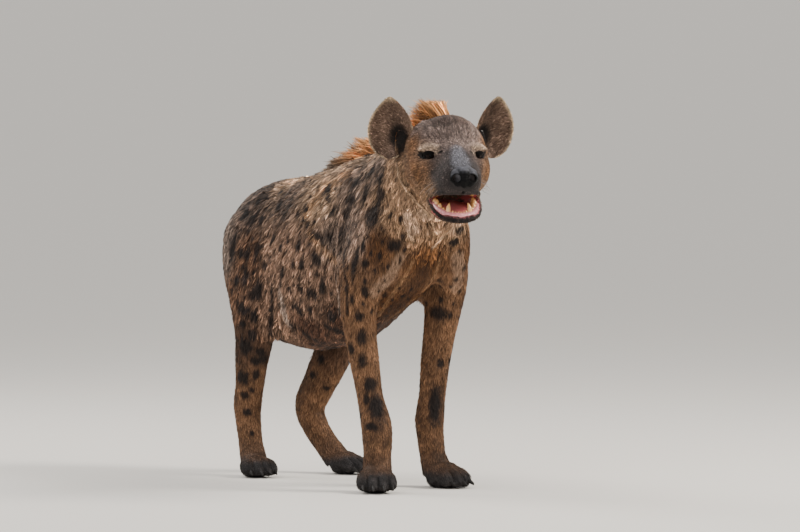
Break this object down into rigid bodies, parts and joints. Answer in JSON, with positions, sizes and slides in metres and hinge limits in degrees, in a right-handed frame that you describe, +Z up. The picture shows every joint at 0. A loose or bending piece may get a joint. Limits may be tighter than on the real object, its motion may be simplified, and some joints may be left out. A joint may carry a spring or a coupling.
{
  "type": "spotted hyena",
  "caption": "Standing spotted hyena with sloping back, big round ears, open mouth, crest of long hair and hanging tail, a still life-size model.",
  "frame": {"origin": "middle of the model's footprint on the floor, under the chest and belly", "axes": "+Z up, the animal faces -Y, its right side at -X"},
  "size_m": [0.3424, 1.1964, 0.8894],
  "materials": {
    "coat": "matte short fur, tan with dark brown spots",
    "mouth": "moist pink gum, tongue and ivory teeth",
    "eye": "glossy dark eye",
    "claw": "dark horn"
  },
  "bodies": {
    "root": {"torso": "coat", "neck": "coat", "head": "coat", "jaw": "coat", "tail": "coat", "foreleg_right": "coat", "foreleg_left": "coat", "hindleg_right": "coat", "hindleg_left": "coat", "ear_right": "coat", "ear_left": "coat", "gum_lower": "mouth", "gum_upper": "mouth", "tongue": "mouth", "eye_right": "eye", "eye_left": "eye", "claw_foreleg_right_1": "claw", "claw_foreleg_right_2": "claw", "claw_foreleg_right_3": "claw", "claw_foreleg_right_4": "claw", "claw_foreleg_left_1": "claw", "claw_foreleg_left_2": "claw", "claw_foreleg_left_3": "claw", "claw_foreleg_left_4": "claw", "claw_hindleg_right_1": "claw", "claw_hindleg_right_2": "claw", "claw_hindleg_right_3": "claw", "claw_hindleg_right_4": "claw", "claw_hindleg_left_1": "claw", "claw_hindleg_left_2": "claw", "claw_hindleg_left_3": "claw", "claw_hindleg_left_4": "claw"}
  },
  "joints": []
}
